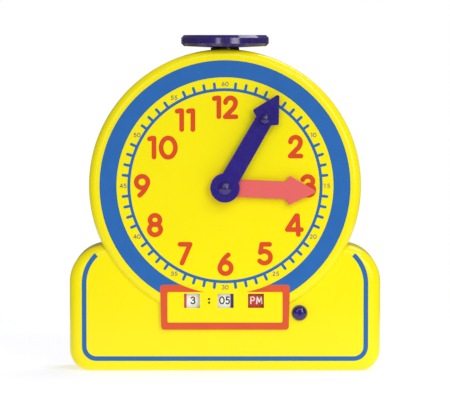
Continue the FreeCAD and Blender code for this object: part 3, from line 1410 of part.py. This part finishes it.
# Every object is sound and every piece is a whole solid before anything is written
failed = [item.Name for item in doc.Objects if "Invalid" in item.State or "Error" in item.State]
if failed:
    raise SystemExit(f"objects failed: {failed}")
for name, item in NODES.items():
    if item.Shape.isNull() or not item.Shape.isValid() or not item.Shape.Solids:
        raise SystemExit(f"piece is not sound: {name}")
for name, item in NODES.items():
    item.Shape.exportStep(f"parts/{name}.step")
print(len(NODES), "pieces written")
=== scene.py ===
import json
import math

import bmesh
import bpy
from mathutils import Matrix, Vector

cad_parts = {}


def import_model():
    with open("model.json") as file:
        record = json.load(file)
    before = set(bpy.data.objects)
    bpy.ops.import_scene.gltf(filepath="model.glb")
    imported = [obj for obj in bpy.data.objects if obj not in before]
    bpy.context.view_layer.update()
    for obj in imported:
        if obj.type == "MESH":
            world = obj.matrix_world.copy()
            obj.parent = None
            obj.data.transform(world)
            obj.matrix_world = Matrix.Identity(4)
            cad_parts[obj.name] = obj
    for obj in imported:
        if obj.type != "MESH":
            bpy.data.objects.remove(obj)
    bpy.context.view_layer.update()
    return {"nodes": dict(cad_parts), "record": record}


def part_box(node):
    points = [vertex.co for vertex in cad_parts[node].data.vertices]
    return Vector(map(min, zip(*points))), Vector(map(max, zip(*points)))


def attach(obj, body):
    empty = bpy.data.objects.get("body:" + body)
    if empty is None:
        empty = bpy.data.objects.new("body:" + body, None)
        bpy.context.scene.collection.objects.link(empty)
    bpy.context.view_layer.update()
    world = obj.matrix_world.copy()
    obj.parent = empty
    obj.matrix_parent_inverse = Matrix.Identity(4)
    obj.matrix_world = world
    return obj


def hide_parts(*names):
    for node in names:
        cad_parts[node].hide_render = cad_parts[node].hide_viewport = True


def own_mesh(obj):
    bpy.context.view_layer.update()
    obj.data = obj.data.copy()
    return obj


# Looks of the geared teaching clock: a material for every piece, the button's spring, soft studio light
# and the camera. Metres, +Z up, the dial faces -Y.

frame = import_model()
nodes = frame["nodes"]
record = frame["record"]

MM = 0.001


# Colours

def linear(red, green, blue):
    """A colour given as it looks on a screen, 0 to 255, in the linear values that shaders take."""
    channels = []
    for value in (red, green, blue):
        value = value / 255
        channels.append(value / 12.92 if value <= 0.04045 else ((value + 0.055) / 1.055) ** 2.4)
    return (*channels, 1)


def shade(colour, share, towards=(1, 1, 1)):
    """A colour moved by a share of the way towards another."""
    return (*[value + (goal - value) * share for value, goal in zip(colour[:3], towards)], 1)


YELLOW = linear(248, 233, 4)
BLUE = linear(32, 102, 176)
ORANGE = linear(220, 72, 22)
BORDER = linear(220, 84, 44)
GREY_VIOLET = linear(118, 104, 120)
BLACK = linear(26, 26, 30)
WHITE = linear(254, 254, 255)
LETTER_WHITE = linear(252, 246, 244)
PURPLE = linear(40, 26, 124)
PURPLE_DARK = linear(40, 18, 104)
KNOB_PURPLE = linear(42, 22, 104)
SALMON = linear(230, 98, 94)
PINK = linear(236, 92, 104)
DRUM_PURPLE = linear(92, 66, 146)
RED = linear(206, 58, 52)
ACETAL = linear(232, 229, 218)
GREY = linear(142, 145, 150)
SHUTTER_GREY = linear(188, 190, 194)
STEEL = linear(172, 173, 176)
FLOOR_WHITE = linear(218, 219, 236)
PAPER_SHADE = (0.35, 0.36, 0.42)
DARKEST = (0, 0, 0)


# Node helpers

EDGE_COSINE = 0.93
FLAT_COSINE = 0.999


class Shader:
    """A material under construction, with short calls for its nodes and links."""

    def __init__(self, name):
        self.material = bpy.data.materials.new(name)
        self.material.use_nodes = True
        self.tree = self.material.node_tree
        self.surface = self.tree.nodes["Principled BSDF"]

    def add(self, kind, **values):
        """A node with these settings. What isn't a property of the node is the value of a socket."""
        node = self.tree.nodes.new(kind)
        for name, value in values.items():
            if hasattr(node, name):
                setattr(node, name, value)
            else:
                node.inputs[name.replace("_", " ")].default_value = value
        return node

    def link(self, source, target):
        self.tree.links.new(source, target)

    def set(self, name, value):
        """A value that is the same all over the surface."""
        self.surface.inputs[name].default_value = value

    def feed(self, name, source):
        """A value that changes over the surface."""
        self.link(source, self.surface.inputs[name])

    def place(self):
        """Object coordinates, the same for every piece because all share the frame's origin."""
        return self.add("ShaderNodeTexCoord").outputs["Object"]

    def noise(self, waves, detail=3.0, roughness=0.5, distortion=0.0):
        """Noise with about that many waves to the metre."""
        node = self.add("ShaderNodeTexNoise", Scale=waves, Detail=detail, Roughness=roughness,
                        Distortion=distortion)
        self.link(self.place(), node.inputs["Vector"])
        return node.outputs["Fac"]

    def spread(self, source, low, high, from_low=0.35, from_high=0.65):
        """The source's range, which is where noise mostly lies unless given, stretched to low and high."""
        node = self.add("ShaderNodeMapRange", From_Min=from_low, From_Max=from_high, To_Min=low, To_Max=high)
        self.link(source, node.inputs["Value"])
        return node.outputs["Result"]

    def mix(self, factor, first, second):
        """From the first colour to the second as the factor goes from 0 to 1."""
        node = self.add("ShaderNodeMix", data_type="RGBA")
        self.link(factor, node.inputs["Factor"])
        for name, value in (("A", first), ("B", second)):
            socket = next(item for item in node.inputs if item.name == name and item.type == "RGBA")
            if isinstance(value, tuple):
                socket.default_value = value
            else:
                self.link(value, socket)
        return next(item for item in node.outputs if item.type == "RGBA")

    def bump(self, height, strength, depth, before=None):
        node = self.add("ShaderNodeBump", Strength=strength, Distance=depth)
        self.link(height, node.inputs["Height"])
        if before is not None:
            self.link(before, node.inputs["Normal"])
        return node.outputs["Normal"]

    def edges(self, width):
        """About 0 on flat faces and up to 1 where a bevel of that width would turn the surface."""
        bevel = self.add("ShaderNodeBevel", samples=4, Radius=width)
        geometry = self.add("ShaderNodeNewGeometry")
        dot = self.add("ShaderNodeVectorMath", operation="DOT_PRODUCT")
        self.link(bevel.outputs["Normal"], dot.inputs[0])
        self.link(geometry.outputs["Normal"], dot.inputs[1])
        return self.spread(dot.outputs["Value"], 1.0, 0.0, from_low=EDGE_COSINE, from_high=FLAT_COSINE)


# Finishes

WEAR_WIDTH = 0.6 * MM
WORN_PALER = 0.55
COAT_ROUGHNESS = 0.08
PEEL_DEPTH = 0.2 * MM
SWELL_DEPTH = 1.2 * MM
INK_UNEVEN = 0.07
INK_SPECULAR = 0.3
PINHOLE_SHARE = 0.12
PINHOLE_PALER = 0.3
PAPER_UNEVEN = 0.08
PAPER_ROUGHNESS = 0.6
METAL_UNEVEN = 0.2
FINE_DEPTH = 0.05 * MM


def plastic(name, colour, roughness, coat=0.0, peel=0.06, mottle=0.03, wear=0.1, scuffs=0.05, specular=0.4):
    """Moulded plastic: faint mottle, orange peel, fine scuffs in the gloss and paler worn edges."""
    shader = Shader(name)
    broad = shader.noise(14.0, detail=4.0)
    base = shader.mix(shader.spread(broad, 0.0, 1.0), colour, shade(colour, mottle, DARKEST))
    chips = shader.noise(900.0, detail=5.0, roughness=0.7)
    chips = shader.spread(chips, 0.0, wear, from_low=0.45, from_high=0.62)
    rim = shader.add("ShaderNodeMath", operation="MULTIPLY")
    shader.link(shader.edges(WEAR_WIDTH), rim.inputs[0])
    shader.link(chips, rim.inputs[1])
    shader.feed("Base Color", shader.mix(rim.outputs["Value"], base, shade(colour, WORN_PALER)))
    fine = shader.noise(160.0, detail=6.0, roughness=0.65, distortion=0.4)
    shader.feed("Roughness", shader.spread(fine, roughness - scuffs, roughness + scuffs))
    shader.set("Coat Weight", coat)
    shader.set("Coat Roughness", COAT_ROUGHNESS)
    shader.set("Specular IOR Level", specular)
    ripple = shader.bump(shader.noise(420.0, detail=2.0), peel, PEEL_DEPTH)
    shader.feed("Normal", shader.bump(shader.noise(28.0, detail=1.0), peel / 2, SWELL_DEPTH, ripple))
    return shader.material


def ink(name, colour):
    """Screen print: slightly uneven density, a few pinholes and a drier gloss than the plastic."""
    shader = Shader(name)
    density = shader.spread(shader.noise(60.0, detail=6.0, roughness=0.6), 0.0, 1.0)
    base = shader.mix(density, colour, shade(colour, INK_UNEVEN, DARKEST))
    pinholes = shader.noise(2600.0, detail=2.0)
    pinholes = shader.spread(pinholes, 0.0, PINHOLE_SHARE, from_low=0.68, from_high=0.76)
    shader.feed("Base Color", shader.mix(pinholes, base, shade(colour, PINHOLE_PALER)))
    shader.set("Specular IOR Level", INK_SPECULAR)
    grain = shader.noise(1500.0)
    shader.feed("Roughness", shader.spread(grain, 0.31, 0.42))
    shader.feed("Normal", shader.bump(grain, 0.05, FINE_DEPTH))
    return shader.material


def paper(name, colour):
    """Matt paper label with a fine fibre bump and a faint grey cast in patches."""
    shader = Shader(name)
    cast = shader.spread(shader.noise(90.0), 0.0, 1.0)
    shader.feed("Base Color", shader.mix(cast, colour, shade(colour, PAPER_UNEVEN, PAPER_SHADE)))
    shader.set("Roughness", PAPER_ROUGHNESS)
    fibres = shader.noise(2200.0, detail=8.0, roughness=0.75, distortion=1.2)
    shader.feed("Normal", shader.bump(fibres, 0.12, FINE_DEPTH))
    return shader.material


def metal(name, colour, roughness, squeeze):
    """Drawn or plated metal. Its noise is squeezed along each axis by that many times, which makes lines."""
    shader = Shader(name)
    mapping = shader.add("ShaderNodeMapping", Scale=squeeze)
    shader.link(shader.place(), mapping.inputs["Vector"])
    noise = shader.add("ShaderNodeTexNoise", Scale=90.0, Detail=5.0)
    shader.link(mapping.outputs["Vector"], noise.inputs["Vector"])
    lines = noise.outputs["Fac"]
    tone = shader.spread(lines, 0.0, 1.0)
    shader.feed("Base Color", shader.mix(tone, colour, shade(colour, METAL_UNEVEN, DARKEST)))
    shader.set("Metallic", 1.0)
    shader.feed("Roughness", shader.spread(lines, roughness - 0.08, roughness + 0.1))
    shader.feed("Normal", shader.bump(lines, 0.08, FINE_DEPTH))
    return shader.material


# The record's material slots: kind of finish, colour and what differs from the kind's own values
FINISHES = {
    "yellow_casing": (plastic, YELLOW, dict(roughness=0.2, peel=0.04, mottle=0.02, wear=0.2, specular=0.32)),
    "blue_print": (ink, BLUE, {}),
    "orange_print": (ink, ORANGE, {}),
    "border_print": (ink, BORDER, {}),
    "grey_print": (ink, GREY_VIOLET, {}),
    "black_print": (ink, BLACK, {}),
    "white_print": (ink, LETTER_WHITE, {}),
    "purple_hand": (plastic, PURPLE, dict(roughness=0.26, peel=0.08, mottle=0.12, wear=0.2)),
    "purple_peg": (plastic, PURPLE_DARK, dict(roughness=0.27, peel=0.02, mottle=0.08, scuffs=0.03,
                                              specular=0.7)),
    "salmon_hand": (plastic, SALMON, dict(roughness=0.36, peel=0.08, mottle=0.05, wear=0.2)),
    "purple_knob": (plastic, KNOB_PURPLE, dict(roughness=0.16, peel=0.04, mottle=0.12, wear=0.3,
                                               specular=0.9)),
    "purple_button": (plastic, PURPLE_DARK, dict(roughness=0.1, coat=0.5, peel=0.02, scuffs=0.03)),
    "black_plastic": (plastic, BLACK, dict(roughness=0.34, mottle=0.1, wear=0.15)),
    "white_label": (paper, WHITE, {}),
    "pink_drum": (plastic, PINK, dict(roughness=0.4, mottle=0.06)),
    "purple_drum": (plastic, DRUM_PURPLE, dict(roughness=0.4, mottle=0.06)),
    "red_drum": (plastic, RED, dict(roughness=0.42, mottle=0.08)),
    "white_gear": (plastic, ACETAL, dict(roughness=0.42, mottle=0.05)),
    "grey_plate": (plastic, GREY, dict(roughness=0.45, mottle=0.06)),
    "steel_rod": (metal, STEEL, dict(roughness=0.3, squeeze=(40, 1, 1))),
    "zinc_screw": (metal, STEEL, dict(roughness=0.36, squeeze=(12, 12, 12))),
    "grey_shutter": (plastic, SHUTTER_GREY, dict(roughness=0.36, mottle=0.04)),
}
MATERIALS = {slot: kind(slot, colour, **own) for slot, (kind, colour, own) in FINISHES.items()}

for part in record["subparts"]:
    nodes[part["node"]].data.materials[0] = MATERIALS[part["material_slot"]]


# Return spring of the button, which shortens when the button is pressed: here one coil of round wire built
# in the box of the CAD spring, which it replaces

SPRING_TURNS = 6
SPRING_WIRE = 0.7 * MM
STEPS_PER_TURN = 32
WIRE_SIDES = 10
ALONG = Vector((0, 1, 0))


def coil_mesh(low, high):
    """A round wire wound round the Y axis inside the box of the CAD spring."""
    middle = (low + high) / 2
    radius = (high.x - low.x - SPRING_WIRE) / 2
    length = high.y - low.y - SPRING_WIRE
    work = bmesh.new()
    steps = SPRING_TURNS * STEPS_PER_TURN
    before = None
    for step in range(steps + 1):
        angle = 2 * math.pi * step / STEPS_PER_TURN
        outward = Vector((math.cos(angle), 0, math.sin(angle)))
        reached = low.y + SPRING_WIRE / 2 + length * step / steps
        centre = Vector((middle.x, reached, middle.z)) + radius * outward
        ring = []
        for side in range(WIRE_SIDES):
            turn = 2 * math.pi * side / WIRE_SIDES
            offset = (math.cos(turn) * outward + math.sin(turn) * ALONG) * (SPRING_WIRE / 2)
            ring.append(work.verts.new(centre + offset))
        if before is None:
            work.faces.new(ring)
        else:
            for side in range(WIRE_SIDES):
                work.faces.new((before[side - 1], before[side], ring[side], ring[side - 1]))
        before = ring
    work.faces.new(before)
    bmesh.ops.recalc_face_normals(work, faces=work.faces[:])
    for face in work.faces:
        face.smooth = len(face.verts) == 4
    mesh = bpy.data.meshes.new("spring_coil")
    work.to_mesh(mesh)
    work.free()
    return mesh


def spring():
    low, high = [Vector(corner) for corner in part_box("button_spring")]
    part = next(item for item in record["subparts"] if item["node"] == "button_spring")
    piece = bpy.data.objects.new("spring_coil", coil_mesh(low, high))
    bpy.context.scene.collection.objects.link(piece)
    piece.data.materials.append(MATERIALS[part["material_slot"]])
    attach(piece, "casing")
    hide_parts("button_spring")
    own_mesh(piece)


spring()


# Studio: a white table before a white room, soft lamps and a long lens

FLOOR_HALF = 0.5
FLOOR_GLOW = 0.47
WORLD_LIGHT = 0.4
MIRROR_LIGHT = 0.15
CLOCK_MIDDLE = (0, 0, 0.16)

# Lamps: name, place, width and height, watts
LAMPS = (
    ("right", (0.92, -1.85, 0.6), (0.75, 1.0), 10.5),
    ("left", (-0.62, -2.0, 0.6), (0.4, 0.9), 3.5),
    ("high", (0.2, -1.9, 1.7), (1.8, 1.0), 11.5),
    ("key", (0.75, -0.85, 1.1), (0.16, 0.16), 2.0),
    ("top", (0.5, 0.45, 1.35), (0.9, 0.7), 7.0),
)

CAMERA_DISTANCE = 3.0
CAMERA_ELEVATION = math.radians(3.0)
CAMERA_AIM = Vector((0, -0.038, 0.1622))
SENSOR_WIDTH_MM = 36.0
SIGHT_LIMIT = 50.0
IMAGE_WIDTH_PX = 450
MM_PER_PX = 0.94


def backdrop():
    """A floor that glows enough to pass white in the open and keeps the clock's soft shadow.

    Its slight blue makes up for the yellow light that the casing throws on it.
    """
    half = FLOOR_HALF
    corners = [(-half, -half, 0), (half, -half, 0), (half, half, 0), (-half, half, 0)]
    mesh = bpy.data.meshes.new("floor")
    mesh.from_pydata(corners, [], [(0, 1, 2, 3)])
    floor = bpy.data.objects.new("floor", mesh)
    bpy.context.scene.collection.objects.link(floor)
    shader = Shader("floor_paper")
    shader.set("Base Color", FLOOR_WHITE)
    shader.set("Roughness", 0.9)
    shader.set("Specular IOR Level", 0.0)
    shader.set("Emission Color", (1, 1, 1, 1))
    shader.set("Emission Strength", FLOOR_GLOW)
    mesh.materials.append(shader.material)


def world():
    """White to the camera, softer as a light and dimmer still in reflections."""
    studio = bpy.data.worlds.new("studio")
    bpy.context.scene.world = studio
    studio.use_nodes = True
    tree = studio.node_tree
    tree.nodes.clear()
    rays = tree.nodes.new("ShaderNodeLightPath")
    output = tree.nodes.new("ShaderNodeOutputWorld")

    def background(strength):
        node = tree.nodes.new("ShaderNodeBackground")
        node.inputs["Color"].default_value = (1, 1, 1, 1)
        node.inputs["Strength"].default_value = strength
        return node.outputs["Background"]

    result = background(WORLD_LIGHT)
    strengths = {"Is Glossy Ray": MIRROR_LIGHT, "Is Transmission Ray": 1.0, "Is Camera Ray": 1.0}
    for ray, strength in strengths.items():
        choice = tree.nodes.new("ShaderNodeMixShader")
        tree.links.new(rays.outputs[ray], choice.inputs["Fac"])
        tree.links.new(result, choice.inputs[1])
        tree.links.new(background(strength), choice.inputs[2])
        result = choice.outputs["Shader"]
    tree.links.new(result, output.inputs["Surface"])


def look_at(item, aim):
    item.rotation_euler = (Vector(aim) - item.location).to_track_quat("-Z", "Y").to_euler()


def lamp(name, place, size, watts):
    """A soft panel of light turned to the middle of the clock."""
    data = bpy.data.lights.new(name, "AREA")
    data.shape = "RECTANGLE"
    data.size, data.size_y = size
    data.energy = watts
    item = bpy.data.objects.new(name, data)
    item.location = place
    look_at(item, CLOCK_MIDDLE)
    bpy.context.scene.collection.objects.link(item)


def camera():
    """A long lens a little above the middle of the clock, its frame as wide as the photograph's."""
    data = bpy.data.cameras.new("camera")
    data.sensor_width = SENSOR_WIDTH_MM
    data.lens = SENSOR_WIDTH_MM * CAMERA_DISTANCE / (IMAGE_WIDTH_PX * MM_PER_PX * MM)
    data.clip_end = SIGHT_LIMIT
    item = bpy.data.objects.new("camera", data)
    back = Vector((0, -math.cos(CAMERA_ELEVATION), math.sin(CAMERA_ELEVATION)))
    item.location = CAMERA_AIM + back * CAMERA_DISTANCE
    look_at(item, CAMERA_AIM)
    bpy.context.scene.collection.objects.link(item)
    bpy.context.scene.camera = item


backdrop()
world()
for settings in LAMPS:
    lamp(*settings)
camera()
bpy.context.scene.view_settings.view_transform = "Standard"
